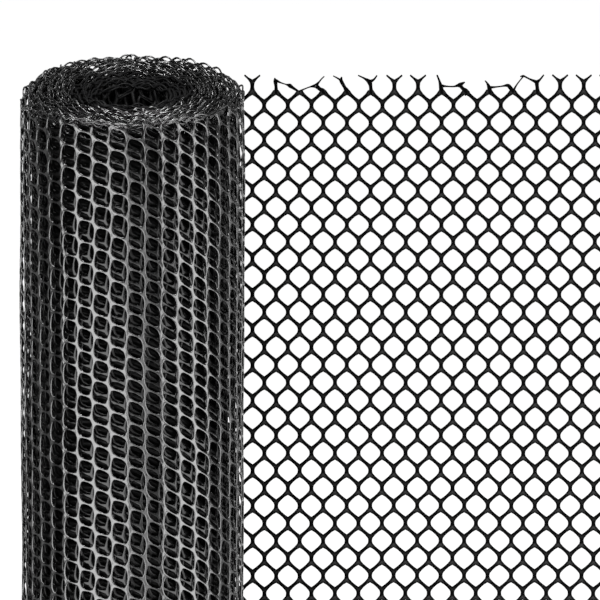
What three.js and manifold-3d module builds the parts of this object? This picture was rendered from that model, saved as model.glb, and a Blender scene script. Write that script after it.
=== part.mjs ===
// A roll of black plastic poultry netting: a hexagonal extruded net, wound into a roll with an open
// core that stands on its end, and with its loose end pulled out flat to one side.
// Millimetres, +Z up. The origin is the middle of the footprint, on the surface that it stands on.
import * as THREE from "three";
import { mergeVertices } from "three/addons/utils/BufferGeometryUtils.js";
import Module from "manifold-3d";

const wasm = await Module();
wasm.setup();

// The netting, at its real size
const NET_WIDTH = 610; // from edge to edge of the netting, so the roll stands this high
const NET_THICKNESS = 2;
const CELL_ACROSS = 19; // from strut to strut
const CELL_ROW = 14.4; // from one row of struts to the next
const STRUT_LENGTH = 7.6;
const STRUT_WIDTH = 2.7;
const ARM_WIDTH = 2.4;
const COARSENING = 2; // the solids' net is drawn at this many times the real pitch

// The roll
const ROLL_RADIUS = 91;
const CORE_RADIUS = 28;
const CORE_SIDES = 28;
const ROWS_AROUND = 20; // even, so that the staggered rows close up
const CELL_DEPTH = 2.6; // of the hollow in each cell, down to the turn underneath
const CELL_TAPER = 0.12; // share by which the hollow narrows down to its floor

// The top end, where the cut edges of the turns show
const SHOWN_TURNS = 6;
const STEPS_PER_TURN = 30;
const GROOVE_DEPTH = 12;
const GROOVE_SHARE = 0.42; // of the pitch of the turns that show
const RIM_STEPS = 36;
const RIM_WAVES = [
  { count: 2, height: 1.6, phase: 0.4 },
  { count: 5, height: 1.1, phase: 2.1 },
  { count: 9, height: 0.7, phase: 1.2 },
];

// The loose end, which leaves the back of the roll along its tangent
const LEAVES_AT = Math.PI / 2; // the angle round the roll, from +X
const LOOSE_START = 14; // from the roll's axis to the hidden edge, beside the step in the roll
const LOOSE_LENGTH = 420; // from the roll's axis to the cut edge
const TOP_ROW_CUT = 17; // the loose end has lost its top row of cells
const FIT_GAP = 0.3;
const STEP_HEIGHT = NET_THICKNESS + FIT_GAP; // the roll drops by one turn under the loose end
const STEP_ANGLE = 0.32;

const PLASTIC = { color: 0x17181a, roughness: 0.45, metalness: 0 };

const COARSE_NET = {
  across: CELL_ACROSS * COARSENING,
  row: CELL_ROW * COARSENING,
  strut: STRUT_LENGTH * COARSENING,
  strutWidth: STRUT_WIDTH * COARSENING,
  armWidth: ARM_WIDTH * COARSENING,
};

// The closed solid of a geometry, once its shared points are merged.
function solidOf(geometry) {
  const bare = geometry.clone();
  bare.deleteAttribute("normal");
  bare.deleteAttribute("uv");
  const merged = mergeVertices(bare);
  const vertProperties = merged.getAttribute("position").array;
  const triVerts = Uint32Array.from(merged.getIndex().array);
  return new wasm.Manifold(new wasm.Mesh({ numProp: 3, vertProperties, triVerts }));
}

function geometryOf(solid) {
  const { vertProperties, triVerts } = solid.getMesh();
  const geometry = new THREE.BufferGeometry();
  geometry.setAttribute("position", new THREE.BufferAttribute(vertProperties, 3));
  geometry.setIndex(new THREE.BufferAttribute(triVerts, 1));
  geometry.computeVertexNormals();
  return geometry;
}

function geometryFrom(points, triangles) {
  return new THREE.BufferGeometry().setFromPoints(points).setIndex(triangles.flat());
}

// The triangles of a face with three corners or more.
function fan(face) {
  return face.slice(2).map((last, k) => [face[0], face[k + 1], last]);
}

// The edges that belong to one triangle only, in that triangle's direction.
function rimEdges(triangles) {
  const edges = new Map();
  for (const triangle of triangles) {
    triangle.forEach((from, k) => {
      const to = triangle[(k + 1) % 3];
      if (!edges.delete(`${to},${from}`)) edges.set(`${from},${to}`, [from, to]);
    });
  }
  return [...edges.values()];
}

// Every second row of struts is shifted by half a cell.
const stagger = (row) => (Math.abs(row) % 2) / 2;

// The flat pattern of the net: its corner points, the faces of its strands and its holes.
// A pattern's x runs across the struts and its y along them. Each strut joins a low joint to a high
// joint, and two arms join that to the low joints of the next row. A joint has three corners, one on
// each side of its strut and a tip between its arms. Faces run anticlockwise.
class NetPattern {
  constructor({ across, row, strut, strutWidth, armWidth, columns, rows, closed }) {
    Object.assign(this, { across, row, strut, columns, rows, closed });
    const armAcross = across / 2;
    const armAlong = row - strut;
    this.side = strutWidth / 2;
    this.tip = ((armWidth / 2) * Math.hypot(armAcross, armAlong)) / armAcross;
    this.shoulder = this.tip - (this.side * armAlong) / armAcross;
    this.corners = [];
    this.numbers = new Map();
    this.faces = [];
    this.holes = [];
    this.eachStrut((i, j) => this.addStrands(i, j));
    this.eachStrut((i, j) => this.addHole(i, j));
  }

  eachStrut(visit) {
    for (let j = 0; j < this.rows; j++) {
      for (let i = 0; i < this.columns; i++) visit(i, j);
    }
  }

  hasRow(j) {
    return this.closed || (j >= 0 && j < this.rows);
  }

  // The column of the strut half a cell to the right of strut i, in the rows above and below.
  rightOf(i, j) {
    return i + 2 * stagger(j);
  }

  // Where a corner of the low (end = -1) or high (end = 1) joint of a strut lies.
  cornerPoint(i, j, end, place) {
    const x = (i + stagger(j)) * this.across;
    const y = j * this.row + (end * this.strut) / 2;
    if (place === "tip") return new THREE.Vector2(x, y + end * this.tip);
    const side = place === "right" ? this.side : -this.side;
    return new THREE.Vector2(x + side, y - end * this.shoulder);
  }

  // The number of that corner. A closed pattern's rows run round to the first again.
  corner(i, j, end, place) {
    const row = this.closed ? THREE.MathUtils.euclideanModulo(j, this.rows) : j;
    const key = `${i},${row},${end},${place}`;
    if (!this.numbers.has(key)) {
      this.numbers.set(key, this.corners.length);
      this.corners.push(this.cornerPoint(i, row, end, place));
    }
    return this.numbers.get(key);
  }

  addStrands(i, j) {
    const low = (place) => this.corner(i, j, -1, place);
    const high = (place) => this.corner(i, j, 1, place);
    this.faces.push(
      [low("tip"), low("right"), low("left")],
      [low("left"), low("right"), high("right"), high("left")],
      [high("left"), high("right"), high("tip")],
    );
    if (!this.hasRow(j + 1)) return;
    const right = this.rightOf(i, j);
    const left = right - 1;
    const next = (column, place) => this.corner(column, j + 1, -1, place);
    if (right < this.columns) {
      this.faces.push([high("right"), next(right, "tip"), next(right, "left"), high("tip")]);
    }
    if (left >= 0) {
      this.faces.push([high("left"), high("tip"), next(left, "right"), next(left, "tip")]);
    }
  }

  // The hole on the right of a strut, if the strands go all the way round it.
  addHole(i, j) {
    const right = this.rightOf(i, j);
    const inside = i + 1 < this.columns && right < this.columns;
    if (!inside || !this.hasRow(j - 1) || !this.hasRow(j + 1)) return;
    const places = [
      [i, j, -1, "right"],
      [right, j - 1, 1, "tip"],
      [i + 1, j, -1, "left"],
      [i + 1, j, 1, "left"],
      [right, j + 1, -1, "tip"],
      [i, j, 1, "right"],
    ];
    this.holes.push({
      rim: places.map((place) => this.corner(...place)),
      outline: places.map((place) => this.cornerPoint(...place)),
      middle: new THREE.Vector2((i + 0.5 + stagger(j)) * this.across, j * this.row),
    });
  }
}

function onRoll(radius, angle, z) {
  return new THREE.Vector3(radius * Math.cos(angle), radius * Math.sin(angle), z);
}

// The radius of the outer turn. Anticlockwise from where the loose end leaves, the turn winds inwards by
// its own thickness. The step back out lies under the loose end.
function outerRadius(angle) {
  const clockwise = THREE.MathUtils.euclideanModulo(LEAVES_AT - angle, 2 * Math.PI);
  const wound = clockwise / (2 * Math.PI);
  const stepped = 1 - clockwise / STEP_ANGLE;
  return ROLL_RADIUS - STEP_HEIGHT * (1 - Math.max(wound, stepped));
}

// The drum of wound netting, longer than the roll: the strands stand proud, and each cell is a hollow.
// The struts lie round the roll, so the pattern's x runs up the roll and its y clockwise round it.
function netDrum() {
  const columns = Math.ceil(NET_WIDTH / COARSE_NET.across) + 3;
  const row = (2 * Math.PI * ROLL_RADIUS) / ROWS_AROUND;
  const pattern = new NetPattern({ ...COARSE_NET, row, columns, rows: ROWS_AROUND, closed: true });
  const place = (corner, depth) => {
    const angle = LEAVES_AT - corner.y / ROLL_RADIUS;
    return onRoll(outerRadius(angle) - depth, angle, corner.x - COARSE_NET.across);
  };
  const points = pattern.corners.map((corner) => place(corner, 0));
  const triangles = pattern.faces.flatMap(fan);
  for (const { rim, outline, middle } of pattern.holes) {
    const floor = outline.map((corner) => {
      points.push(place(corner.lerp(middle, CELL_TAPER), CELL_DEPTH));
      return points.length - 1;
    });
    const walls = rim.map((n, k) => {
      const next = (k + 1) % rim.length;
      return [n, rim[next], floor[next], floor[k]];
    });
    triangles.push(...walls.flatMap(fan), ...fan(floor));
  }
  // A cone to a far point on the axis closes each end. The trimming takes both cones off.
  for (const [from, to] of rimEdges(triangles)) {
    const isTop = points[from].z > NET_WIDTH / 2;
    points.push(onRoll(0, 0, isTop ? 3 * NET_WIDTH : -2 * NET_WIDTH));
    triangles.push([to, from, points.length - 1]);
  }
  return solidOf(geometryFrom(points, triangles));
}

// The space that the drum is trimmed to: flat below, and uneven along the cut edge at the top.
function trimmedHeight() {
  const reach = 1.5 * ROLL_RADIUS;
  const deepest = RIM_WAVES.reduce((sum, { height }) => sum + height, 0);
  const waveAt = (angle) =>
    RIM_WAVES.reduce((sum, { count, height, phase }) => sum + height * Math.sin(count * angle + phase), 0);
  const geometry = new THREE.CylinderGeometry(reach, reach, NET_WIDTH, RIM_STEPS);
  geometry.rotateX(Math.PI / 2).translate(0, 0, NET_WIDTH / 2);
  const position = geometry.getAttribute("position");
  const point = new THREE.Vector3();
  for (let n = 0; n < position.count; n++) {
    point.fromBufferAttribute(position, n);
    if (point.z < NET_WIDTH / 2) continue;
    const onAxis = Math.hypot(point.x, point.y) < 1;
    const wave = onAxis ? 0 : waveAt(Math.atan2(point.y, point.x));
    position.setZ(n, NET_WIDTH - deepest + wave);
  }
  return solidOf(geometry);
}

// A level spiral that winds inwards, anticlockwise from the angle where the loose end leaves.
class WindingCurve extends THREE.Curve {
  constructor(outermost, pitch, turns, z) {
    super();
    Object.assign(this, { outermost, pitch, turns, z });
  }

  getPoint(share, target = new THREE.Vector3()) {
    const turn = share * this.turns;
    return target.copy(onRoll(this.outermost - this.pitch * turn, LEAVES_AT + 2 * Math.PI * turn, this.z));
  }
}

// The spiral gap between the turns, cut down into the top end.
function turnGroove() {
  const outermost = ROLL_RADIUS - STEP_HEIGHT - CELL_DEPTH;
  const pitch = (outermost - CORE_RADIUS) / (SHOWN_TURNS + 1);
  const half = (pitch * GROOVE_SHARE) / 2;
  const section = new THREE.Shape([
    new THREE.Vector2(-GROOVE_DEPTH, -half),
    new THREE.Vector2(GROOVE_DEPTH, -half),
    new THREE.Vector2(GROOVE_DEPTH, half),
    new THREE.Vector2(-GROOVE_DEPTH, half),
  ]);
  const extrudePath = new WindingCurve(outermost - pitch / 2, pitch, SHOWN_TURNS, NET_WIDTH);
  const steps = SHOWN_TURNS * STEPS_PER_TURN;
  return solidOf(new THREE.ExtrudeGeometry(section, { steps, extrudePath }));
}

function core() {
  const geometry = new THREE.CylinderGeometry(CORE_RADIUS, CORE_RADIUS, 3 * NET_WIDTH, CORE_SIDES);
  return solidOf(geometry.rotateX(Math.PI / 2));
}

function woundRoll() {
  return netDrum().intersect(trimmedHeight()).subtract(core()).subtract(turnGroove());
}

// The loose end: a flat net with its cells cut through, trimmed straight on all four sides.
function looseEnd() {
  const height = NET_WIDTH - TOP_ROW_CUT;
  const length = LOOSE_LENGTH - LOOSE_START;
  const columns = Math.ceil(length / COARSE_NET.across) + 3;
  const rows = Math.ceil(height / COARSE_NET.row) + 3;
  const pattern = new NetPattern({ ...COARSE_NET, columns, rows, closed: false });
  const front = ROLL_RADIUS - NET_THICKNESS;
  const place = (corner, y) => {
    const x = LOOSE_START - COARSE_NET.across + corner.x;
    return new THREE.Vector3(x, y, corner.y - COARSE_NET.row);
  };
  const points = [front, ROLL_RADIUS].flatMap((y) => pattern.corners.map((corner) => place(corner, y)));
  const behind = pattern.corners.length;
  const faces = pattern.faces.flatMap(fan);
  const backs = faces.map(([a, b, c]) => [c + behind, b + behind, a + behind]);
  const walls = rimEdges(faces).flatMap(([from, to]) => fan([to, from, from + behind, to + behind]));
  const trim = new THREE.BoxGeometry(length, 4 * NET_THICKNESS, height);
  trim.translate(LOOSE_START + length / 2, front, height / 2);
  return solidOf(geometryFrom(points, [...faces, ...backs, ...walls])).intersect(solidOf(trim));
}

function meshOf(name, solid) {
  const mesh = new THREE.Mesh(geometryOf(solid), new THREE.MeshStandardMaterial(PLASTIC));
  mesh.name = name;
  return mesh;
}

const netting = new THREE.Group();
netting.add(meshOf("wound_roll", woundRoll()), meshOf("loose_end", looseEnd()));

// The part stands on the middle of its own footprint.
const box = new THREE.Box3().setFromObject(netting);
const middle = box.getCenter(new THREE.Vector3());
netting.position.set(-middle.x, -middle.y, -box.min.z);

export default netting;
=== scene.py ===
"""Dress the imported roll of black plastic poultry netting.

The netting is a flat pattern of six-sided cells. Every cell is a ring of plastic round a hole, worked out
once and repeated over whole arrays. The flat net is then wound on a spiral for the roll, or stood upright for
the loose end. Sizes are in millimetres, and the meshes are in metres.
"""

import logging
import math
from dataclasses import dataclass
from enum import Enum
from typing import Callable, NamedTuple
import bpy
import numpy as np
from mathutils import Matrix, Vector
from numpy.typing import NDArray


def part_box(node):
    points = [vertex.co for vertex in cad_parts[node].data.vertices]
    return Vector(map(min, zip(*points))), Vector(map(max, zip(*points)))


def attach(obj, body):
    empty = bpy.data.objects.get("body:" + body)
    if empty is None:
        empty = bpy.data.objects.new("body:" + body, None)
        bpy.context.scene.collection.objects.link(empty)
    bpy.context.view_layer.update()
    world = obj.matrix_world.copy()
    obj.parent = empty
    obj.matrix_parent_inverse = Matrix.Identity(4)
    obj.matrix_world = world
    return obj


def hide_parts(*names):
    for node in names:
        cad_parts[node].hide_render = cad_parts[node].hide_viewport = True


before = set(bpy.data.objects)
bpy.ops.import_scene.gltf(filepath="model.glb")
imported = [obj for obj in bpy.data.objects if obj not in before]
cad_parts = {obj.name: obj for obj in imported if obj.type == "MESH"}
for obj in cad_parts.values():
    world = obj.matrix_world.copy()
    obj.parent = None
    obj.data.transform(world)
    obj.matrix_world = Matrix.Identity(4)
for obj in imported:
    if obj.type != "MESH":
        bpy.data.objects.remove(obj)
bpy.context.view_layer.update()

Floats = NDArray[np.float64]
Numbers = NDArray[np.int64]
Flags = NDArray[np.bool_]

LOG = logging.getLogger("poultry_netting")
MM = 0.001
FULL_TURN = 2 * math.pi
BODY = "root"
# A wavelength so long that a ripple stays level that way.
ENDLESS = 1e9
# Crest points in one square of this side are one. The offset keeps the squares' sides off the net's places.
MERGE_STEP = 0.01
MERGE_OFFSET = 0.3137
KEY_SPAN = 1 << 32


class Fineness(Enum):
    """How finely cells are drawn: steps along a strut and an arm, and shares from a hole's edge to the crest.

    The deep turns are drawn plainly, with fuller strands, so that no daylight shows through the roll.
    """

    PANEL = (4, 3, (0.0, 0.3, 0.65, 1.0), (0.0, 0.5, 1.0), 1.0)
    OUTER = (3, 3, (0.0, 0.25, 0.6, 1.0), (0.0, 1.0), 1.0)
    RIM = (2, 2, (0.0, 0.45, 1.0), (0.0, 1.0), 1.0)
    SHALLOW = (1, 2, (0.0, 1.0), (0.0, 1.0), 1.9)
    DEEP = (1, 1, (0.0, 1.0), (0.0, 1.0), 3.0)
    CORE = (1, 1, (0.0, 1.0), (0.0, 1.0), 2.0)

    def __init__(
        self,
        strut_steps: int,
        arm_steps: int,
        front: tuple[float, ...],
        back: tuple[float, ...],
        fullness: float,
    ) -> None:
        """Keep the steps and the shares.

        Args:
            strut_steps: Steps along a strut.
            arm_steps: Steps along an arm.
            front: Shares of the way from the hole's edge to the crest on the front.
            back: The same on the back.
            fullness: How many times their true width the strands have.
        """
        self.strut_steps = strut_steps
        self.arm_steps = arm_steps
        self.front = np.array(front)
        self.back = np.array(back)
        self.fullness = fullness


@dataclass(frozen=True)
class Ripple:
    """A small wave over the net: its height, its wavelengths along and down the net, and its phase."""

    height: float
    along: float
    down: float
    phase: float

    def at(self, along: Floats, down: Floats) -> Floats:
        """Return height times the sine of along and down, each over its wavelength, plus the phase."""
        return self.height * np.sin(FULL_TURN * (along / self.along + down / self.down) + self.phase)


def rippled(ripples: tuple[Ripple, ...], along: Floats, down: Floats) -> Floats:
    """Return the sum of the ripples at each place.

    Args:
        ripples: The waves to add up.
        along: Places along the net.
        down: Places down the net.

    Returns:
        The summed height at each place.
    """
    return np.sum([ripple.at(along, down) for ripple in ripples], axis=0)


def eased(low: float, high: float, value: Floats) -> Floats:
    """Return 0 below low and 1 above high, with the cubic 3t^2 - 2t^3 between them.

    Args:
        low: Where the rise starts.
        high: Where the rise ends.
        value: The values to ease.

    Returns:
        The eased share for each value.
    """
    share = np.clip((value - low) / (high - low), 0, 1)
    return share * share * (3 - 2 * share)


@dataclass(frozen=True)
class CellShape:
    """One six-sided cell, with its half of the strands round it.

    Places are across and along the struts, from the middle of the hole. A lean tilts every strut, and a skew
    moves every row of cells off the half-way place, so that the arms are long and short by turns.

    Attributes:
        across, row: How far apart the struts of a row are, and the rows.
        strut: How long a strut is.
        strut_width, arm_width, thickness: The strands' sizes.
        lean, skew: How far a strut's ends and a row are moved.
        corner_sharpness: The power that sharpens the hole's corners.
        lower_point: How much higher that power is at the hole's lower end.
        edge_round: How wide the rounded edge of a strand is.
        webs: How full the webs at the joints are, by turns.
        web_dip: How much thinner a full web is, as a share.
    """

    across: float
    row: float
    strut: float
    strut_width: float
    arm_width: float
    thickness: float
    lean: float = 0.0
    skew: float = 0.0
    corner_sharpness: float = 8.0
    lower_point: float = 0.0
    edge_round: float = 1.05
    webs: tuple[float, float] = (1.0, 0.35)
    web_dip: float = 0.5

    def joints(self) -> Floats:
        """Return the six joints anticlockwise, as rows of (across, along)."""
        side, end, tip, lean = self.across / 2, self.strut / 2, self.row - self.strut / 2, self.lean
        half = np.array([(side - lean, -end), (side + lean, end), (-lean - self.skew, tip)])
        return np.concatenate([half, -half])

    def crest(self, fineness: Fineness) -> Floats:
        """Walk anticlockwise round the six joints, with even steps along each strut and arm.

        Args:
            fineness: The steps along a strut and an arm.

        Returns:
            The crest's points, one row of (across, along) each.
        """
        joints = self.joints()
        steps = [fineness.strut_steps, fineness.arm_steps, fineness.arm_steps] * 2
        edges = zip(joints, np.roll(joints, -1, axis=0), steps)
        return np.concatenate([a + (b - a) * (np.arange(n) / n)[:, None] for a, b, n in edges])

    def edge(self, crest: Floats, fullness: float) -> Floats:
        """Find the hole's edge between each crest point and the middle.

        Six straight edges lie half a strand inside the crest. The hole's radius in a direction is a soft
        minimum of the distances to them: the sum of (cosine / distance) to a high power, to the power of
        minus one over it.

        Args:
            crest: The crest's points.
            fullness: How many times their true width the strands have.

        Returns:
            The edge's points, one for each crest point.
        """
        joints = self.joints()
        steps = np.roll(joints, -1, axis=0) - joints
        outward = np.stack([steps[:, 1], -steps[:, 0]], axis=1) / np.linalg.norm(steps, axis=1)[:, None]
        widths = fullness * np.array([self.strut_width, self.arm_width, self.arm_width] * 2)
        reaches = np.sum(outward * joints, axis=1) - widths / 2
        direction = crest / np.linalg.norm(crest, axis=1)[:, None]
        cosines = np.maximum(direction @ outward.T, 0)
        power = self.corner_sharpness + self.lower_point * np.maximum(-direction[:, 1:], 0) ** 2
        radius = np.sum((cosines / reaches) ** power, axis=1, keepdims=True) ** (-1 / power)
        return radius * direction

    def web(self, fineness: Fineness) -> Floats:
        """Return how much of a web each crest point is: a share at the joints and nothing between."""
        steps = np.array([fineness.strut_steps, fineness.arm_steps, fineness.arm_steps] * 2)
        share = np.zeros(steps.sum())
        share[np.cumsum(steps) - steps] = self.webs * 3
        return share

    def height(self, depth: Floats) -> Floats:
        """Return half the thickness at each depth in from a hole's edge, with the edge a quarter ellipse."""
        fall = 1 - np.minimum(depth / self.edge_round, 1)
        return self.thickness / 2 * np.sqrt(1 - fall * fall)

    def middles(self, columns: Numbers, rows: Numbers) -> Floats:
        """Return the middles of cells, each row shifted by about half a cell from the last.

        Args:
            columns: The number of each cell across the struts.
            rows: The number of each cell along the struts.

        Returns:
            One row of (across, along) for each cell.
        """
        stagger = 0.5 - self.skew / self.across
        return np.stack([(columns + rows * stagger % 1) * self.across, rows * self.row], axis=1)


def unthinned(places: Floats) -> Floats:
    """Return a full width of 1 at every place."""
    return np.ones(places.shape[:-1])


@dataclass
class FlatNet:
    """A closed flat net: points as (across, along, out), how much of a web each is, and the faces."""

    points: Floats
    web: Floats
    quads: Numbers
    triangles: Numbers

    @classmethod
    def of_cells(
        cls,
        cell: CellShape,
        fineness: Fineness,
        middles: Floats,
        kept: Callable[[Floats], Flags],
        thinned: Callable[[Floats], Floats] = unthinned,
    ) -> "FlatNet":
        """Repeat the cell's ring round every middle, cut the strands, and close what was cut.

        A ring's layers run from the hole's edge up to the front crest, and from the edge down to the back
        crest. Neighbours share their crests. A strand is cut between two crest points, on both sides of the
        crest alike, so each cut is closed by a fan over the ring's section.

        Args:
            cell: The shape of one cell.
            fineness: How finely it is drawn.
            middles: The cells' middles.
            kept: Tells which crest steps stay, from the middles of the steps.
            thinned: Gives the width of the strands, as a share, from places on the crest.

        Returns:
            The net, with only the points that it uses.
        """
        crest = cell.crest(fineness)
        inward = cell.edge(crest, fineness.fullness) - crest
        depth = np.linalg.norm(inward, axis=1)
        places = middles[:, None] + crest
        width = thinned(places)
        layers, heights, webs = [], [], []
        for shares, side in ((fineness.front, 1), (fineness.back[1:], -1)):
            layers.append((1 - shares)[:, None, None] * inward)
            webs.append(shares[:, None] ** 2 * cell.web(fineness))
            heights.append(side * cell.height(shares[:, None] * depth) * (1 - cell.web_dip * webs[-1]))
        inwards, height, web = (np.concatenate(parts) for parts in (layers, heights, webs))
        flat = places[:, None] + inwards * width[:, None, :, None]
        points = np.concatenate([flat, (height * width[:, None])[..., None]], axis=-1)
        count, layer_count, around = points.shape[:3]
        top, bottom = len(fineness.front) - 1, layer_count - 1
        numbers = np.arange(count * layer_count * around).reshape(count, layer_count, around)
        squares = np.floor(places / MERGE_STEP + MERGE_OFFSET).astype(np.int64)
        keys = squares @ np.array([KEY_SPAN, 1])
        _, first, back = np.unique(keys.ravel(), return_index=True, return_inverse=True)
        for layer in (top, bottom):
            numbers[:, layer] = numbers[:, layer].ravel()[first[back.ravel()]].reshape(count, around)
        stays = kept((places + np.roll(places, -1, axis=1)) / 2)
        quads, triangles = cls.faces(numbers, stays, top, bottom)
        used, renumbered = np.unique(np.concatenate([quads.ravel(), triangles.ravel()]), return_inverse=True)
        webbed = np.broadcast_to(web, (count, layer_count, around))
        return cls(
            points.reshape(-1, 3)[used],
            webbed.ravel()[used],
            renumbered[: quads.size].reshape(-1, 4),
            renumbered[quads.size :].reshape(-1, 3),
        )

    @staticmethod
    def faces(numbers: Numbers, stays: Flags, top: int, bottom: int) -> tuple[Numbers, Numbers]:
        """Join the layers' points into faces.

        Args:
            numbers: The point numbers by cell, layer and place round the ring.
            stays: Which steps round each ring stay.
            top: The front crest's layer.
            bottom: The back crest's layer.

        Returns:
            The quads and the triangles, all facing outwards.
        """
        following = np.roll(numbers, -1, axis=2)
        quads = []
        for low, high in zip(range(top), range(1, top + 1)):
            ring = (numbers[:, low], numbers[:, high], following[:, high], following[:, low])
            quads.append(np.stack(ring, axis=-1)[stays])
        down = [0, *range(top + 1, bottom + 1)]
        for low, high in zip(down, down[1:]):
            ring = (numbers[:, low], following[:, low], following[:, high], numbers[:, high])
            quads.append(np.stack(ring, axis=-1)[stays])
        sides = np.stack([numbers[:, top][stays], following[:, top][stays]], axis=1)
        sides.sort(axis=1)
        _, where, times = np.unique(sides, axis=0, return_inverse=True, return_counts=True)
        wall = (numbers[:, top], numbers[:, bottom], following[:, bottom], following[:, top])
        quads.append(np.stack(wall, axis=-1)[stays][times[where.ravel()] == 1])
        section = [*range(top + 1), *range(bottom, top, -1)]
        sections = np.moveaxis(numbers[:, section], 1, 2)
        before = np.roll(stays, 1, axis=1)
        ends, starts = sections[before & ~stays], sections[stays & ~before][:, ::-1]
        caps = np.concatenate([ends, starts])
        fans = [caps[:, [0, n, n + 1]] for n in range(1, len(section) - 1)]
        return np.concatenate(quads), np.concatenate(fans)


def curved(knots: Floats, steps: int) -> Floats:
    """Carry a Catmull-Rom curve through knots.

    Between two knots each value is a cubic, with the slope at a knot set by the knots on either side of it.

    Args:
        knots: The knots, one row each.
        steps: Steps between two knots.

    Returns:
        The curve's points, with the last knot at the end.
    """
    padded = np.concatenate([2 * knots[:1] - knots[1:2], knots, 2 * knots[-1:] - knots[-2:-1]])
    before, start, end, after = (padded[n : len(padded) - 3 + n, None] for n in range(4))
    t = np.linspace(0, 1, steps, endpoint=False)[None, :, None]
    slope, bend = end - before, 2 * before - 5 * start + 4 * end - after
    twist = 3 * start - before - 3 * end + after
    between = start + (slope * t + bend * t**2 + twist * t**3) / 2
    return np.concatenate([between.reshape(-1, knots.shape[1]), knots[-1:]])


def round_strand(path: Floats, radius: Floats, deepest: float = math.inf, sides: int = 6) -> FlatNet:
    """Carry a circle, or a flattened one, along a path that lies near the flat net's plane.

    A ring's points are its middle plus the radius times the cosine of the turn on the path's side,
    and the depth times its sine on out. The depth is the radius, up to the deepest.

    Args:
        path: The strand's middle line, as rows of (across, along, out).
        radius: The radius at each point of the path.
        deepest: The most that the strand stands out on each side of its path.
        sides: The points round a ring.

    Returns:
        The closed strand.
    """
    heading = np.gradient(path[:, :2], axis=0)
    heading = heading / np.linalg.norm(heading, axis=1, keepdims=True)
    side = np.stack([-heading[:, 1], heading[:, 0], np.zeros(len(path))], axis=1)
    turn = np.arange(sides) * FULL_TURN / sides
    wide = radius[:, None, None] * np.cos(turn)[None, :, None] * side[:, None]
    deep = np.minimum(radius, deepest)[:, None, None] * np.sin(turn)[None, :, None] * np.array([0, 0, 1])
    points = path[:, None] + wide + deep
    numbers = np.arange(len(path) * sides).reshape(-1, sides)
    following = np.roll(numbers, -1, axis=1)
    quads = np.stack([numbers[:-1], following[:-1], following[1:], numbers[1:]], axis=-1).reshape(-1, 4)
    caps = np.stack([numbers[-1], numbers[0][::-1]])
    fans = np.concatenate([caps[:, [0, n, n + 1]] for n in range(1, sides - 1)])
    return FlatNet(points.reshape(-1, 3), np.zeros(numbers.size), quads, fans)


def joined(nets: list[FlatNet]) -> FlatNet:
    """Put several nets or strands into one, with each one's point numbers moved past the last one's."""
    starts = np.cumsum([0] + [len(net.points) for net in nets[:-1]])
    return FlatNet(
        np.concatenate([net.points for net in nets]),
        np.concatenate([net.web for net in nets]),
        np.concatenate([net.quads + start for net, start in zip(nets, starts)]),
        np.concatenate([net.triangles + start for net, start in zip(nets, starts)]),
    )


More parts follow.
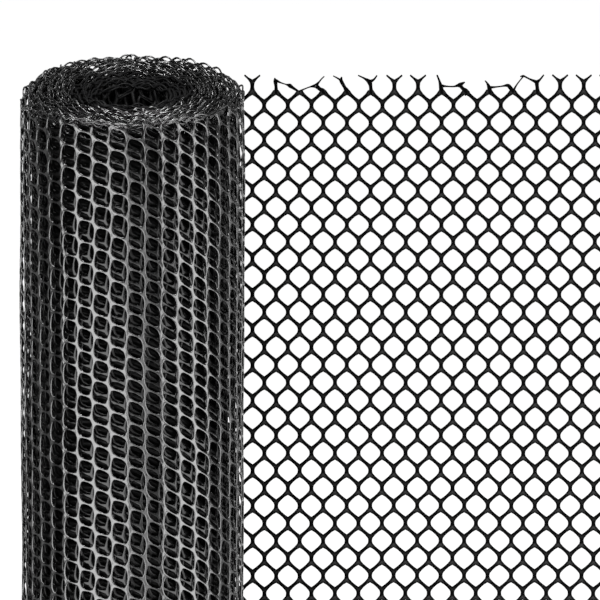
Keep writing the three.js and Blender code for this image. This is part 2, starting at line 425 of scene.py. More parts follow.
@dataclass(frozen=True)
class BlackPlastic:
    """Extruded black polyethylene: a soft gloss, mottled by handling; thin webs are paler, partly a painted
    highlight.

    Attributes:
        name: The material's name.
        shade, web_painted_highlight: How pale the strands are, and how pale the webs are, partly a painted
            highlight.
        gloss: The specular level.
        roughness, roughness_spread: The roughness, and how far the mottle moves it.
        dust_and_highlight: How much of the webs' paler colour, with its painted highlight, the mottle brings
            to the strands.
        mottle_size, mottle_detail: The mottle's lumps, and its octaves.
        grain_size, grain_detail: The same for the grain.
        grain_depth, grain_strength: The grain's bump.
        blueness: The blue of the strands over their other colours.
    """

    name: str
    shade: float
    web_painted_highlight: float
    gloss: float
    roughness: float
    roughness_spread: float
    dust_and_highlight: float = 0.08
    mottle_size: float = 9.0
    mottle_detail: float = 4.0
    grain_size: float = 0.9
    grain_detail: float = 3.0
    grain_depth: float = 0.06
    grain_strength: float = 0.5
    blueness: float = 1.04

    def material(self) -> bpy.types.Material:
        """Build the material's nodes.

        Large noise mottles the roughness, fine noise is the grain's bump, and the web attribute mixes in the
        webs' paler colour, which is partly stress-whitening and partly a painted highlight.

        Returns:
            The new material.
        """
        made = bpy.data.materials.new(self.name)
        made.use_nodes = True
        nodes, links = made.node_tree.nodes, made.node_tree.links
        shader = nodes["Principled BSDF"]
        shader.inputs["Metallic"].default_value = 0.0
        shader.inputs["Specular IOR Level"].default_value = self.gloss
        where = nodes.new("ShaderNodeTexCoord")
        mottle = self.noise(nodes, links, where, self.mottle_size, self.mottle_detail)
        grain = self.noise(nodes, links, where, self.grain_size, self.grain_detail)

        spread = nodes.new("ShaderNodeMapRange")
        spread.inputs["To Min"].default_value = self.roughness - self.roughness_spread
        spread.inputs["To Max"].default_value = self.roughness + self.roughness_spread
        links.new(mottle.outputs["Fac"], spread.inputs["Value"])
        links.new(spread.outputs["Result"], shader.inputs["Roughness"])

        # The web attribute brings in the webs' paler colour, partly a painted highlight, and the mottle
        # spreads some of it as dust.
        web = nodes.new("ShaderNodeAttribute")
        web.attribute_name = "web"
        dust_and_highlight = nodes.new("ShaderNodeMath")
        dust_and_highlight.operation = "MULTIPLY_ADD"
        dust_and_highlight.inputs[1].default_value = self.dust_and_highlight
        links.new(mottle.outputs["Fac"], dust_and_highlight.inputs[0])
        links.new(web.outputs["Fac"], dust_and_highlight.inputs[2])
        tint = nodes.new("ShaderNodeMix")
        tint.data_type = "RGBA"
        tint.inputs["A"].default_value = (self.shade, self.shade, self.shade * self.blueness, 1)
        tint.inputs["B"].default_value = (self.web_painted_highlight, self.web_painted_highlight, self.web_painted_highlight, 1)
        links.new(dust_and_highlight.outputs["Value"], tint.inputs["Factor"])
        links.new(tint.outputs["Result"], shader.inputs["Base Color"])

        bump = nodes.new("ShaderNodeBump")
        bump.inputs["Strength"].default_value = self.grain_strength
        bump.inputs["Distance"].default_value = self.grain_depth * MM
        links.new(grain.outputs["Fac"], bump.inputs["Height"])
        links.new(bump.outputs["Normal"], shader.inputs["Normal"])
        return made

    @staticmethod
    def noise(
        nodes: bpy.types.Nodes,
        links: bpy.types.NodeLinks,
        where: bpy.types.Node,
        size: float,
        detail: float,
    ) -> bpy.types.Node:
        """Add a noise texture on Object coordinates.

        Args:
            nodes: The material's nodes.
            links: The material's links.
            where: The Texture Coordinate node.
            size: The size of the noise's lumps, in millimetres.
            detail: How many finer octaves it has.

        Returns:
            The noise node.
        """
        texture = nodes.new("ShaderNodeTexNoise")
        texture.inputs["Scale"].default_value = 1 / (size * MM)
        texture.inputs["Detail"].default_value = detail
        links.new(where.outputs["Object"], texture.inputs["Vector"])
        return texture


def mesh_piece(name: str, net: FlatNet, points: Floats, finish: bpy.types.Material) -> bpy.types.Object:
    """Put a net's faces on its placed points, and let the mesh ride on the part's body.

    Args:
        name: The piece's name.
        net: The net's faces and webs.
        points: The net's points where they stand, in millimetres.
        finish: The piece's material.

    Returns:
        The new object, at the origin.
    """
    corners = np.concatenate([net.quads.ravel(), net.triangles.ravel()])
    sizes = np.repeat([4, 3], [len(net.quads), len(net.triangles)])
    mesh = bpy.data.meshes.new(name)
    mesh.vertices.add(len(points))
    mesh.vertices.foreach_set("co", (points * MM).astype(np.float32).ravel())
    mesh.loops.add(len(corners))
    mesh.loops.foreach_set("vertex_index", corners.astype(np.int32))
    mesh.polygons.add(len(sizes))
    mesh.polygons.foreach_set("loop_start", (np.cumsum(sizes) - sizes).astype(np.int32))
    mesh.polygons.foreach_set("use_smooth", np.ones(len(sizes), dtype=bool))
    mesh.attributes.new("web", "FLOAT", "POINT").data.foreach_set("value", net.web.astype(np.float32))
    mesh.update(calc_edges=True)
    mesh.materials.append(finish)
    piece = bpy.data.objects.new(name, mesh)
    bpy.context.scene.collection.objects.link(piece)
    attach(piece, BODY)
    LOG.info("%s: %d triangles", name, 2 * len(net.quads) + len(net.triangles))
    return piece


class Band(Enum):
    """Which cells of a stretch are made."""

    WHOLE = "from the top end to the foot"
    RIM = "at the cut edge of the top end"
    BELOW = "from under the rim to the foot"


@dataclass
class WoundRoll:
    """The wound length: one net on a flat spiral, drawn finely where it shows and plainly deeper in.

    The net's across runs down from the top end, and its along runs anticlockwise and inwards from the back,
    where the loose end leaves.

    Attributes:
        finish, under_shaded_finish, third_shaded_finish, inner_shaded_finish, core_light_and_shade_finish:
        The finishes, from the outside in. The inner ones are darker, duller copies of the outer plastic,
        painted shade deeper in the roll;
        the core's copy has a paler base, a painted dim light.
        axis: Where the roll's axis stands.
        height, floor_gap: The top end's height, and how far the foot stays over the floor.
        outer_radius, turn_pitch, turns: The spiral's radius, its fall in a turn, and its turns.
        middle_from, inner_from, core_from: The turns at which the plainer stretches and the core start.
        leaves_at: The angle at which the loose end leaves.
        bow, tilt: How far the rows ride up and down round the roll.
        first_cell: The middle of the first cell.
        rim_depth, rim_drop: How deep the rim reaches, and how far its edge lies under the top.
        rim_arch, rim_strand, rim_spread: The edge strands' arches, radius and distance.
        lower_strand_shift, foot_strand_shift: How far their arches are moved along, in rows.
        edge_steps: Steps along an edge strand for each row of cells.
        funnel, funnel_from: How far the core's turns sink, and the turn at which that starts.
        foot_arch, foot_turns, foot_reach: The foot strand's arches and turns, and how far strands run on.
        rim_slip: The share of the turns' slip that the cut edge follows.
        shoulder, shoulder_power, shoulder_turns: The fall at the sides, its power, and where it dies away.
        spare_rows: Rows of cells past the height.
        cell: The shape of the wound cells.
        radial, sideways, uneven, dented: Waves outwards, along and up, and of the roundness.
        telescoped, ragged, swollen, tipped: Waves of the turns' slip, the cut edge, its arches and its lean.
    """

    finish: BlackPlastic
    under_shaded_finish: BlackPlastic
    third_shaded_finish: BlackPlastic
    inner_shaded_finish: BlackPlastic
    core_light_and_shade_finish: BlackPlastic
    axis: tuple[float, float]
    height: float = 608.6
    floor_gap: float = 0.2
    outer_radius: float = 91.0
    turn_pitch: float = 3.2
    turns: int = 19
    middle_from: int = 4
    inner_from: int = 9
    core_from: int = 13
    leaves_at: float = math.pi / 2
    bow: float = 15.0
    tilt: float = 5.0
    first_cell: tuple[float, float] = (-7.7, -9.5)
    rim_depth: float = 8.0
    rim_drop: float = 1.2
    rim_arch: float = 2.8
    rim_strand: float = 0.75
    rim_spread: float = 1.8
    lower_strand_shift: float = 0.55
    edge_steps: int = 6
    funnel: float = 4.0
    funnel_from: int = 11
    foot_arch: float = 1.6
    foot_strand_shift: float = 0.25
    foot_turns: int = 3
    foot_reach: float = 2.0
    rim_slip: float = 0.6
    shoulder: float = 11.0
    shoulder_power: int = 8
    shoulder_turns: float = 1.5
    spare_rows: int = 2
    cell: CellShape = CellShape(
        across=18.55,
        row=14.1,
        strut=11.8,
        strut_width=0.95,
        arm_width=1.0,
        thickness=1.7,
        lean=1.6,
        skew=0.95,
        corner_sharpness=3.4,
        edge_round=1.0,
        web_dip=0.9,
    )
    radial: tuple[Ripple, ...] = (
        Ripple(0.35, 211.0, 330.0, 0.4),
        Ripple(0.25, 67.0, -140.0, 2.2),
    )
    sideways: tuple[Ripple, ...] = (
        Ripple(0.9, 390.0, 260.0, 1.1),
        Ripple(0.5, 83.0, 95.0, 0.3),
    )
    uneven: tuple[Ripple, ...] = (
        Ripple(0.45, 61.0, 143.0, 0.7),
        Ripple(0.35, 139.0, -47.0, 2.4),
    )
    telescoped: tuple[Ripple, ...] = (
        Ripple(1.3, 1130.0, ENDLESS, 0.0),
        Ripple(0.6, 301.0, ENDLESS, 2.6),
    )
    ragged: tuple[Ripple, ...] = (
        Ripple(1.6, 790.0, ENDLESS, -1.2),
        Ripple(0.8, 71.0, ENDLESS, 0.2),
        Ripple(0.5, 29.0, ENDLESS, 1.7),
    )
    swollen: tuple[Ripple, ...] = (
        Ripple(0.35, 97.0, ENDLESS, 0.0),
        Ripple(0.25, 37.0, ENDLESS, 1.3),
    )
    tipped: tuple[Ripple, ...] = (
        Ripple(0.7, 23.0, ENDLESS, 0.5),
        Ripple(0.6, 41.0, ENDLESS, 2.9),
    )
    dented: tuple[Ripple, ...] = (
        Ripple(0.6, math.pi, 900.0, 0.6),
        Ripple(0.4, FULL_TURN / 3, -700.0, 2.0),
    )

    def length_to(self, turn: float) -> float:
        """Return the net's length from its outer end to a turn, as the area of that ring over the pitch."""
        return FULL_TURN * turn * (self.outer_radius - self.turn_pitch * turn / 2)

    def wound(self, along: Floats) -> Floats:
        """Return the angle that the spiral has wound through, from the outer end to each length along it.

        The radius falls by one pitch a turn, so the length to an angle is a quadratic in it, and the angle is
        that quadratic's smaller root.

        Args:
            along: Lengths along the net.

        Returns:
            The angle at each length.
        """
        inside = np.maximum(self.outer_radius**2 - self.turn_pitch * along / math.pi, 0)
        return FULL_TURN / self.turn_pitch * (self.outer_radius - np.sqrt(inside))

    def raised(self, down: Floats, along: Floats) -> Floats:
        """Return the height of places on the net.

        The rows are bowed, as a cosine of twice the angle, and ride up at the front and the back. They are
        also tilted, as a sine of the angle.

        Args:
            down: Places down the net from its top end.
            along: Places along the net.

        Returns:
            Their heights over the floor.
        """
        slipped = rippled(self.telescoped, along, np.zeros_like(along))
        wound = self.wound(along)
        return self.height - down + slipped + self.bow * np.cos(2 * wound) + self.tilt * np.sin(wound)

    def placed(self, flat: Floats) -> Floats:
        """Wind flat points on the spiral, with their out added to its radius, and the ripples and dents.

        Strands that would reach under the floor end flat on it.

        Args:
            flat: Points as (down, along, out).

        Returns:
            The points' places in the part's frame.
        """
        down, along, out = flat.T
        z = np.maximum(self.raised(down, along) + rippled(self.uneven, along, down), self.floor_gap)
        along = along + rippled(self.sideways, along, down)
        wound = self.wound(along)
        angle = self.leaves_at + wound
        radius = self.outer_radius - self.turn_pitch * wound / FULL_TURN + out
        radius = radius + rippled(self.radial, along, down) + rippled(self.dented, angle, down)
        x, y = self.axis[0] + radius * np.cos(angle), self.axis[1] + radius * np.sin(angle)
        return np.stack([x, y, z], axis=1)

    def kept(self, places: Floats) -> Flags:
        """Tell which strands lie between the ragged top edge and the flat end that the roll stands on."""
        down, along = places[..., 0], places[..., 1]
        z = self.raised(down, along)
        upright = (z > -self.foot_reach) & (z < self.rim(along))
        return upright & (along > 0) & (along < self.length_to(self.turns))

    def rim(self, along: Floats) -> Floats:
        """Return the height that the top edge is cut at.

        It has ragged waves and a share of each turn's slip. At the two sides it falls in a shoulder, a high
        power of the angle's sine that dies away turn by turn inwards. The core's turns sink in a funnel.

        Args:
            along: Places along the net.

        Returns:
            The edge's height at each place.
        """
        level = np.zeros_like(along)
        wound = self.wound(along)
        dying = np.exp(-wound / (FULL_TURN * self.shoulder_turns))
        fall = self.shoulder * np.sin(wound) ** self.shoulder_power * dying
        sunk = self.funnel * eased(self.funnel_from, self.turns, wound / FULL_TURN)
        waves = self.rim_slip * rippled(self.telescoped, along, level) + rippled(self.ragged, along, level)
        return self.height - self.rim_drop + waves - fall - sunk

    def rim_edges(self, turns: tuple[int, int]) -> FlatNet:
        """Make the two strands along the cut edge at the top between two turns, one under the other."""
        along = self.steps_along(turns)
        rim = self.rim(along)
        upper = self.edge_strand(along, rim, self.rim_arch, 0.0)
        lower = self.edge_strand(along, rim - self.rim_spread, self.rim_arch, self.lower_strand_shift)
        return joined([upper, lower])

    def foot_edge(self) -> FlatNet:
        """Make the strand along the cut edge that the outer turns stand on."""
        along = self.steps_along((0, self.foot_turns))
        base = np.full_like(along, self.floor_gap + self.rim_strand)
        return self.edge_strand(along, base, self.foot_arch, self.foot_strand_shift)

    def steps_along(self, turns: tuple[int, int]) -> Floats:
        """Return even steps along the net between two turns, the same number for every row of cells."""
        return np.arange(*(self.length_to(turn) for turn in turns), self.cell.row / self.edge_steps)

    def edge_strand(self, along: Floats, base: Floats, arch: float, turned: float) -> FlatNet:
        """Make one strand along a cut edge.

        Its height is the base plus an arch over every row of cells, the absolute value of a cosine. Waves
        along the net make the arches high and low by turns.

        Args:
            along: Places along the net.
            base: The height of the arches' feet at each place.
            arch: How high the arches rise.
            turned: How far they are moved along the net, in rows.

        Returns:
            The strand, flat.
        """
        level = np.zeros_like(along)
        rise = np.abs(np.cos(math.pi * ((along - self.first_cell[1]) / self.cell.row + turned)))
        rise = rise * arch * (1 + rippled(self.swollen, along, level))
        tip = rippled(self.tipped, along + turned * self.cell.row, level)
        path = np.stack([self.raised(level, along) - base - rise, along, tip], axis=1)
        return round_strand(path, np.full(len(path), self.rim_strand))

    def stretch(self, fineness: Fineness, turns: tuple[int, int], band: Band) -> FlatNet:
        """Make one stretch of the net, flat.

        Args:
            fineness: How finely its cells are drawn.
            turns: The turns that it starts and ends at.
            band: Which of its cells are made.

        Returns:
            The stretch.
        """
        first, last = (math.ceil(self.length_to(turn) / self.cell.row) for turn in turns)
        rows = math.ceil((self.height + self.bow) / self.cell.across) + self.spare_rows
        grid = np.meshgrid(np.arange(-1, rows), np.arange(first, last), indexing="ij")
        middles = self.cell.middles(*(side.ravel() for side in grid)) + np.array(self.first_cell)
        at_rim = self.raised(*middles.T) > self.rim(middles[:, 1]) - self.rim_depth
        made = {Band.WHOLE: np.full_like(at_rim, True), Band.RIM: at_rim, Band.BELOW: ~at_rim}[band]
        return FlatNet.of_cells(self.cell, fineness, middles[made], self.kept)

    def build(self) -> None:
        """Make the outer turn, the turns that show through it, the deep turns and the rim of cut edges."""
        # Each stretch deeper in gets a darker, duller copy of the outer plastic as painted shade; the core's
        # copy has a paler base, a painted dim light.
        finishes = (self.finish, self.under_shaded_finish, self.third_shaded_finish, self.inner_shaded_finish, self.core_light_and_shade_finish)
        shown, under, third, hidden, deep = (finish.material() for finish in finishes)
        ring, core = (2, self.core_from), (self.core_from, self.turns)
        middle, inner = (self.middle_from, self.inner_from), (self.inner_from, self.turns)
        pieces = (
            ("outer_turn", self.stretch(Fineness.OUTER, (0, 1), Band.WHOLE), shown),
            ("second_turn", self.stretch(Fineness.RIM, (1, 2), Band.WHOLE), under),
            ("third_turn", self.stretch(Fineness.RIM, (2, 3), Band.BELOW), third),
            ("fourth_turn", self.stretch(Fineness.SHALLOW, (3, self.middle_from), Band.BELOW), hidden),
            ("middle_turns", self.stretch(Fineness.DEEP, middle, Band.BELOW), hidden),
            ("core_turns", self.stretch(Fineness.CORE, inner, Band.BELOW), deep),
            ("rim_of_turns", self.stretch(Fineness.RIM, ring, Band.RIM), shown),
            ("rim_of_core", self.stretch(Fineness.RIM, core, Band.RIM), deep),
            ("rim_edge", self.rim_edges((0, self.core_from)), shown),
            ("core_edge", self.rim_edges(core), deep),
            ("foot_edge", self.foot_edge(), shown),
        )
        for name, net, material in pieces:
            piece = mesh_piece(name, net, self.placed(net.points), material)
            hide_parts("wound_roll")


class Knot(NamedTuple):
    """A point on a torn strand, from the first cut strut's middle, with the strand's radius there."""

    across: float
    up: float
    radius: float


# The strands left over the torn cells, each named for the cut strut that it hangs on.
TORN_STRANDS: dict[str, tuple[Knot, ...]] = {
    "first_stub": (
        Knot(19.3, -5.4, 2.4), Knot(19.3, -0.9, 1.3), Knot(18.7, 3.5, 1.6), Knot(18.2, 6.6, 0.5),
    ),
    "first_drawn": (
        Knot(19.0, 4.5, 1.4), Knot(23.0, 2.6, 0.65), Knot(27.5, 1.2, 0.55),
        Knot(30.4, 0.4, 1.5), Knot(32.8, -1.0, 1.1), Knot(37.7, -3.6, 0.7),
    ),
    "second_drawn": (
        Knot(37.7, -3.7, 0.9), Knot(42.3, -1.9, 0.5), Knot(47.2, -0.4, 0.55), Knot(51.3, 0.2, 1.5),
    ),
    "third_stub": (
        Knot(58.4, -5.6, 2.5), Knot(57.3, -3.4, 2.0), Knot(54.9, -2.0, 1.4), Knot(51.9, 0.2, 1.7),
    ),
    "third_tail": (
        Knot(51.6, 0.3, 1.5), Knot(54.1, 3.0, 0.75), Knot(56.2, 5.7, 0.55), Knot(58.4, 7.9, 0.5),
    ),
    "fourth_stub": (
        Knot(77.5, -5.6, 2.5), Knot(76.5, -3.0, 2.0), Knot(74.8, -0.6, 1.3),
        Knot(72.1, 4.0, 1.5), Knot(72.5, 7.4, 0.5),
    ),
    "fourth_arm": (Knot(72.5, 3.6, 1.4), Knot(70.1, 5.7, 0.8), Knot(65.6, 8.3, 0.5)),
    "fifth_stub": (
        Knot(96.2, -5.4, 2.4), Knot(96.1, -0.9, 1.4), Knot(94.9, 3.2, 1.9),
        Knot(91.0, 6.1, 0.9), Knot(85.8, 8.8, 0.55),
    ),
    "fifth_arm": (Knot(95.0, 3.2, 1.8), Knot(98.6, 5.3, 0.9), Knot(101.1, 8.7, 0.6)),
    "eighth_stub": (
        Knot(153.9, -5.4, 2.4), Knot(152.9, -0.4, 1.6), Knot(151.6, 4.2, 0.9), Knot(149.8, 8.9, 0.7),
    ),
    "eighth_drawn": (
        Knot(153.0, 0.2, 1.2), Knot(157.5, -0.2, 0.6), Knot(163.0, -0.4, 0.55),
        Knot(166.2, 0.2, 1.0), Knot(168.4, 0.7, 1.6), Knot(172.4, 2.7, 0.5),
    ),
    "ninth_stub": (
        Knot(174.6, -5.6, 2.5), Knot(173.0, -3.6, 2.0), Knot(170.7, -1.8, 1.3), Knot(168.7, 0.3, 1.5),
    ),
    "tenth_stub": (
        Knot(192.9, -5.4, 2.4), Knot(192.0, -1.2, 1.6), Knot(190.4, 1.8, 0.8), Knot(188.7, 3.8, 0.5),
    ),
    "tenth_drawn": (
        Knot(192.0, -1.2, 1.1), Knot(197.0, -0.9, 0.6), Knot(202.8, -0.3, 0.55),
        Knot(206.6, 0.2, 1.1), Knot(208.6, -0.7, 1.5), Knot(211.8, -4.3, 1.5),
    ),
    "eleventh_drawn": (
        Knot(211.8, -3.2, 1.0), Knot(214.2, 0.3, 0.6), Knot(216.8, 3.6, 0.55),
        Knot(219.0, 6.5, 0.6), Knot(219.8, 7.9, 0.9), Knot(217.2, 7.3, 0.5),
    ),
    "twelfth_stub": (
        Knot(231.4, -5.4, 2.4), Knot(231.1, -1.2, 1.5), Knot(230.9, 2.4, 1.7),
        Knot(233.4, 4.9, 0.9), Knot(236.4, 8.9, 0.6),
    ),
    "twelfth_arm": (Knot(230.8, 2.6, 1.6), Knot(225.0, 5.2, 0.8), Knot(219.9, 8.0, 0.8)),
}


@dataclass
class LooseEnd:
    """The length pulled out flat: an upright net with cut edges and a few torn strands along its top.

    Attributes:
        finish: The flat net's finish, a darker and duller copy of the wound netting's plastic, which is
            painted shade.
        axis, offset: Where the roll's axis stands, and how far behind it the net does.
        floor_gap: How far the foot stays over the floor.
        length, top, near_edge, foot_edge: The four cut edges.
        covered: The share of the sheet that its strands cover; not used.
        taut_length: The length beside the roll over which the waves grow.
        squeeze, squeezed, squeezed_past: How far the upper rows are pulled down, and over what height.
        drawn_up, drawn_from, drawn_to: How far the cut struts are drawn up, and over what height.
        strut_place: The middle of the first cut strut.
        torn: The numbers of the struts that are torn away.
        tip_length, tip_width: How long the cut tips taper, and to what share.
        strand_steps: Steps between two knots of a torn strand.
        spare_cells: Columns and rows of cells past the edges.
        cell: The shape of the flat cells.
        wavy: Waves of the net to the front and the back.
    """

    finish: BlackPlastic
    axis: tuple[float, float]
    floor_gap: float = 0.2
    offset: float = 90.6
    length: float = 419.5
    top: float = 596.9
    near_edge: float = 0.3
    foot_edge: float = 0.4
    covered: float = 0.42
    taut_length: float = 60.0
    squeeze: float = 5.3
    squeezed: float = 170.0
    squeezed_past: float = 10.0
    drawn_up: float = 2.3
    drawn_from: float = 16.0
    drawn_to: float = 5.0
    strut_place: tuple[float, float] = (96.3, 588.4)
    torn: tuple[int, ...] = (-1, 1, 2, 3, 4, 5, 8, 9, 10, 11, 12)
    tip_length: float = 7.5
    tip_width: float = 0.5
    strand_steps: int = 5
    spare_cells: int = 3
    cell: CellShape = CellShape(
        across=19.2, row=15.1, strut=6.4, strut_width=2.8, arm_width=2.92, thickness=2.0, lower_point=9.0
    )
    wavy: tuple[Ripple, ...] = (
        Ripple(0.7, 310.0, 520.0, 0.5),
        Ripple(0.4, 130.0, -260.0, 1.9),
    )

    def placed(self, flat: Floats) -> Floats:
        """Stand flat points upright behind the roll: across runs along +X, along runs up, and out faces -Y.

        The upper rows are pulled down a little, and the struts cut at the top are drawn longer, both eased.

        Args:
            flat: Points as (across, along, out).

        Returns:
            The points' places in the part's frame.
        """
        across, up, out = flat.T
        slack = eased(0, self.taut_length, across) * rippled(self.wavy, across, up)
        pulled = self.squeeze * eased(self.top - self.squeezed, self.top + self.squeezed_past, up)
        drawn = self.drawn_up * eased(self.top - self.drawn_from, self.top - self.drawn_to, up)
        z = np.maximum(up - pulled + drawn, self.floor_gap)
        return np.stack([self.axis[0] + across, self.axis[1] + self.offset + slack - out, z], axis=1)

    def kept(self, places: Floats) -> Flags:
        """Tell which strands lie inside the cut edges and aren't torn away at the top."""
        across, up = places[..., 0], places[..., 1]
        between = (across > self.near_edge) & (across < self.length)
        inside = between & (up > self.foot_edge) & (up < self.top)
        number = np.round((across - self.strut_place[0]) / self.cell.across)
        missing = np.isin(number, self.torn) & (up > self.strut_place[1] - self.cell.strut / 2)
        return inside & ~missing

    def thinned(self, places: Floats) -> Floats:
        """Return the strands' width as a share, which tapers towards the cut tips at the top."""
        return 1 - (1 - self.tip_width) * eased(self.top - self.tip_length, self.top, places[..., 1])

    def middles(self) -> Floats:
        """Return the middles of all the cells that reach into the sheet."""
        columns = math.ceil(self.length / self.cell.across) + self.spare_cells
        rows = math.ceil(self.top / self.cell.row) + self.spare_cells
        grid = np.meshgrid(np.arange(columns), np.arange(rows), indexing="ij")
        middles = self.cell.middles(*(side.ravel() for side in grid))
        across, up = self.strut_place
        shift = np.array([across % self.cell.across - 1.5 * self.cell.across, up % (2 * self.cell.row)])
        return middles + shift - np.array([0, 2 * self.cell.row])

    def build(self) -> None:
        material = self.finish.material()
        net = FlatNet.of_cells(self.cell, Fineness.PANEL, self.middles(), self.kept, self.thinned)
        made = mesh_piece("loose_net", net, self.placed(net.points), material)
        torn = joined([self.torn_strand(knots) for knots in TORN_STRANDS.values()])
        frayed = mesh_piece("torn_strands", torn, self.placed(torn.points), material)
        for piece in (made, frayed):
            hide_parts("loose_end")

    def torn_strand(self, knots: tuple[Knot, ...]) -> FlatNet:
        """Carry a strand of changing radius through its knots, no thicker than the net.

        Args:
            knots: The strand's knots.

        Returns:
            The strand, flat.
        """
        line = curved(np.array(knots), self.strand_steps)
        path = np.column_stack([line[:, :2] + np.array(self.strut_place), np.zeros(len(line))])
        return round_strand(path, line[:, 2], self.cell.thickness / 2)


@dataclass(frozen=True)
class SoftBox:
    """A large soft light that faces a height on the roll: its direction, its distance and its size."""

    name: str
    azimuth: float
    elevation: float
    distance: float
    faces: float
    size: tuple[float, float]
    power: float


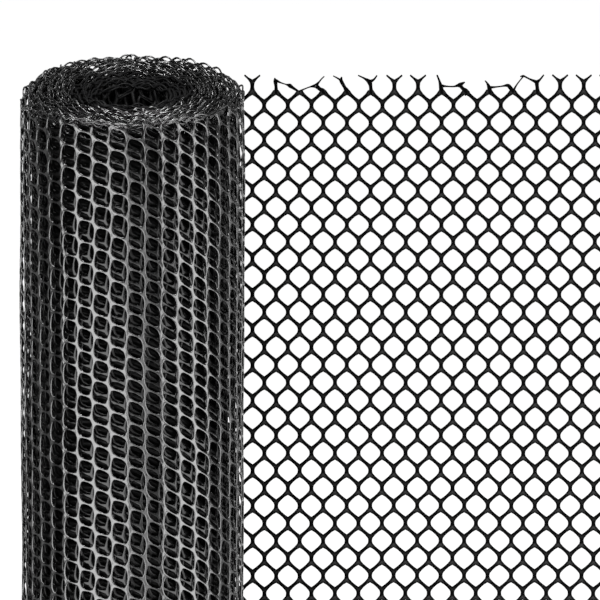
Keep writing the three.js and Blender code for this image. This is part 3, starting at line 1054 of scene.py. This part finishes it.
@dataclass
class Studio:
    """The pale floor, the soft lights and the camera."""

    axis: tuple[float, float]
    floor_size: float = 14.0
    floor_shade: float = 0.1
    floor_roughness: float = 0.9
    floor_glow: float = 0.984
    sky: float = 0.12
    boxes: tuple[SoftBox, ...] = (
        SoftBox("left_box", -36.0, 0.0, 0.6, 0.1, (0.7, 0.7), 8.7),
        SoftBox("middle_box", 8.0, 0.0, 0.6, 0.1, (0.24, 0.7), 0.85),
        SoftBox("right_box", 56.0, 0.0, 0.6, 0.1, (0.54, 0.7), 6.5),
        SoftBox("high_box", 40.0, 42.0, 0.9, 0.35, (0.9, 0.3), 3.4),
        SoftBox("left_side", -116.0, 0.0, 0.9, 0.3, (0.7, 0.9), 0.5),
        SoftBox("left_rim", -152.0, 0.0, 0.9, 0.45, (0.3, 0.8), 0.8),
        SoftBox("right_side", 112.0, 0.0, 0.7, 0.18, (0.25, 0.7), 0.75),
        SoftBox("right_rim", 146.0, 0.0, 0.9, 0.18, (0.4, 0.8), 1.0),
        SoftBox("front_top", 0.0, 70.0, 0.9, 0.6, (0.4, 0.4), 15.0),
        SoftBox("back_top", 180.0, 62.0, 0.9, 0.6, (0.2, 0.2), 1.0),
        SoftBox("back_box", 180.0, 0.0, 0.9, 0.2, (0.8, 0.8), 2.4),
    )
    elevation: float = 18.0
    camera_distance: float = 16.0
    sensor_width: float = 36.0
    far_clip: float = 100.0
    frame_width: float = 0.4854
    aim: tuple[float, float] = (0.135, 0.432)

    def build(self) -> None:
        """Make the floor, the sky, the soft lights and the camera."""
        self.add_floor()
        self.add_sky()
        for box in self.boxes:
            self.add_light(box)
        self.add_camera()
        bpy.context.scene.view_settings.view_transform = "Standard"

    def add_floor(self) -> None:
        """Lay a pale square under the part."""
        half = self.floor_size / 2
        mesh = bpy.data.meshes.new("floor")
        corners = [(-half, -half, 0), (half, -half, 0), (half, half, 0), (-half, half, 0)]
        mesh.from_pydata(corners, [], [(0, 1, 2, 3)])
        material = bpy.data.materials.new("pale_floor")
        material.use_nodes = True
        shader = material.node_tree.nodes["Principled BSDF"]
        shader.inputs["Base Color"].default_value = (self.floor_shade,) * 3 + (1,)
        shader.inputs["Roughness"].default_value = self.floor_roughness
        shader.inputs["Specular IOR Level"].default_value = 0.0
        shader.inputs["Emission Color"].default_value = (1, 1, 1, 1)
        shader.inputs["Emission Strength"].default_value = self.floor_glow
        mesh.materials.append(material)
        floor = bpy.data.objects.new("floor", mesh)
        floor.visible_glossy = False
        floor.visible_shadow = False
        bpy.context.scene.collection.objects.link(floor)

    def add_sky(self) -> None:
        """Light everything evenly from a plain white sky."""
        world = bpy.data.worlds.new("soft_sky")
        world.use_nodes = True
        background = world.node_tree.nodes["Background"]
        background.inputs["Color"].default_value = (1, 1, 1, 1)
        background.inputs["Strength"].default_value = self.sky
        bpy.context.scene.world = world

    def add_light(self, box: SoftBox) -> None:
        """Stand a soft light beside the camera's line, turned to the roll.

        Args:
            box: The light's place, size and power.
        """
        light = bpy.data.lights.new(box.name, "AREA")
        light.shape = "RECTANGLE"
        light.size, light.size_y = box.size
        light.energy = box.power
        turn, rise = math.radians(box.azimuth), math.radians(box.elevation)
        roll = Vector((self.axis[0] * MM, self.axis[1] * MM, box.faces))
        away = Vector((math.sin(turn) * math.cos(rise), -math.cos(turn) * math.cos(rise), math.sin(rise)))
        made = bpy.data.objects.new(box.name, light)
        made.location = roll + box.distance * away
        made.rotation_euler = (roll - made.location).to_track_quat("-Z", "Y").to_euler()
        made.visible_camera = False
        bpy.context.scene.collection.objects.link(made)

    def add_camera(self) -> None:
        """Aim a long lens at the roll's upper part, from the front and a little above."""
        camera = bpy.data.cameras.new("camera")
        camera.sensor_width = self.sensor_width
        camera.lens = self.sensor_width * self.camera_distance / self.frame_width
        camera.clip_end = self.far_clip
        tilt = math.radians(self.elevation)
        aim = Vector((self.axis[0] * MM + self.aim[0], self.axis[1] * MM, self.aim[1]))
        made = bpy.data.objects.new("camera", camera)
        made.location = aim + self.camera_distance * Vector((0, -math.cos(tilt), math.sin(tilt)))
        made.rotation_euler = (math.pi / 2 - tilt, 0, 0)
        bpy.context.scene.collection.objects.link(made)
        bpy.context.scene.camera = made


def roll_axis() -> tuple[float, float]:
    """Return where the roll's axis stands, the middle of its solid's box, in millimetres."""
    low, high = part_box("wound_roll")
    return (low[0] + high[0]) / 2 / MM, (low[1] + high[1]) / 2 / MM


def main() -> None:
    """Build the roll, its loose end and the studio, in that order."""
    logging.basicConfig(level=logging.INFO, format="%(name)s: %(message)s")
    axis = roll_axis()
    WoundRoll(
        finish=BlackPlastic(
            "wound_netting", shade=0.003, web_painted_highlight=0.03, gloss=1.0, roughness=0.19, roughness_spread=0.08
        ),
        # The copies below are darker and duller than the outer plastic, painted shade deeper in the roll; the
        # core's has a paler base, a painted dim light.
        under_shaded_finish=BlackPlastic(
            "under_netting_painted_shade", shade=0.001, web_painted_highlight=0.012, gloss=0.32, roughness=0.14, roughness_spread=0.05
        ),
        third_shaded_finish=BlackPlastic(
            "third_netting_painted_shade", shade=0.001, web_painted_highlight=0.008, gloss=0.17, roughness=0.18, roughness_spread=0.05
        ),
        inner_shaded_finish=BlackPlastic(
            "inner_netting_painted_shade", shade=0.0008, web_painted_highlight=0.004, gloss=0.07, roughness=0.3, roughness_spread=0.07
        ),
        core_light_and_shade_finish=BlackPlastic(
            "core_netting_painted_light_and_shade", shade=0.006, web_painted_highlight=0.011, gloss=0.07, roughness=0.45, roughness_spread=0.08
        ),
        axis=axis,
    ).build()
    # The loose end gets a darker, duller copy of the same plastic as painted shade.
    flat_shaded_finish = BlackPlastic(
        "flat_netting_painted_shade",
        shade=0.0004,
        web_painted_highlight=0.022,
        gloss=0.015,
        roughness=0.5,
        roughness_spread=0.06,
        dust_and_highlight=0.02,
    )
    LooseEnd(flat_shaded_finish, axis).build()
    Studio(axis).build()


if __name__ == "__main__":
    main()
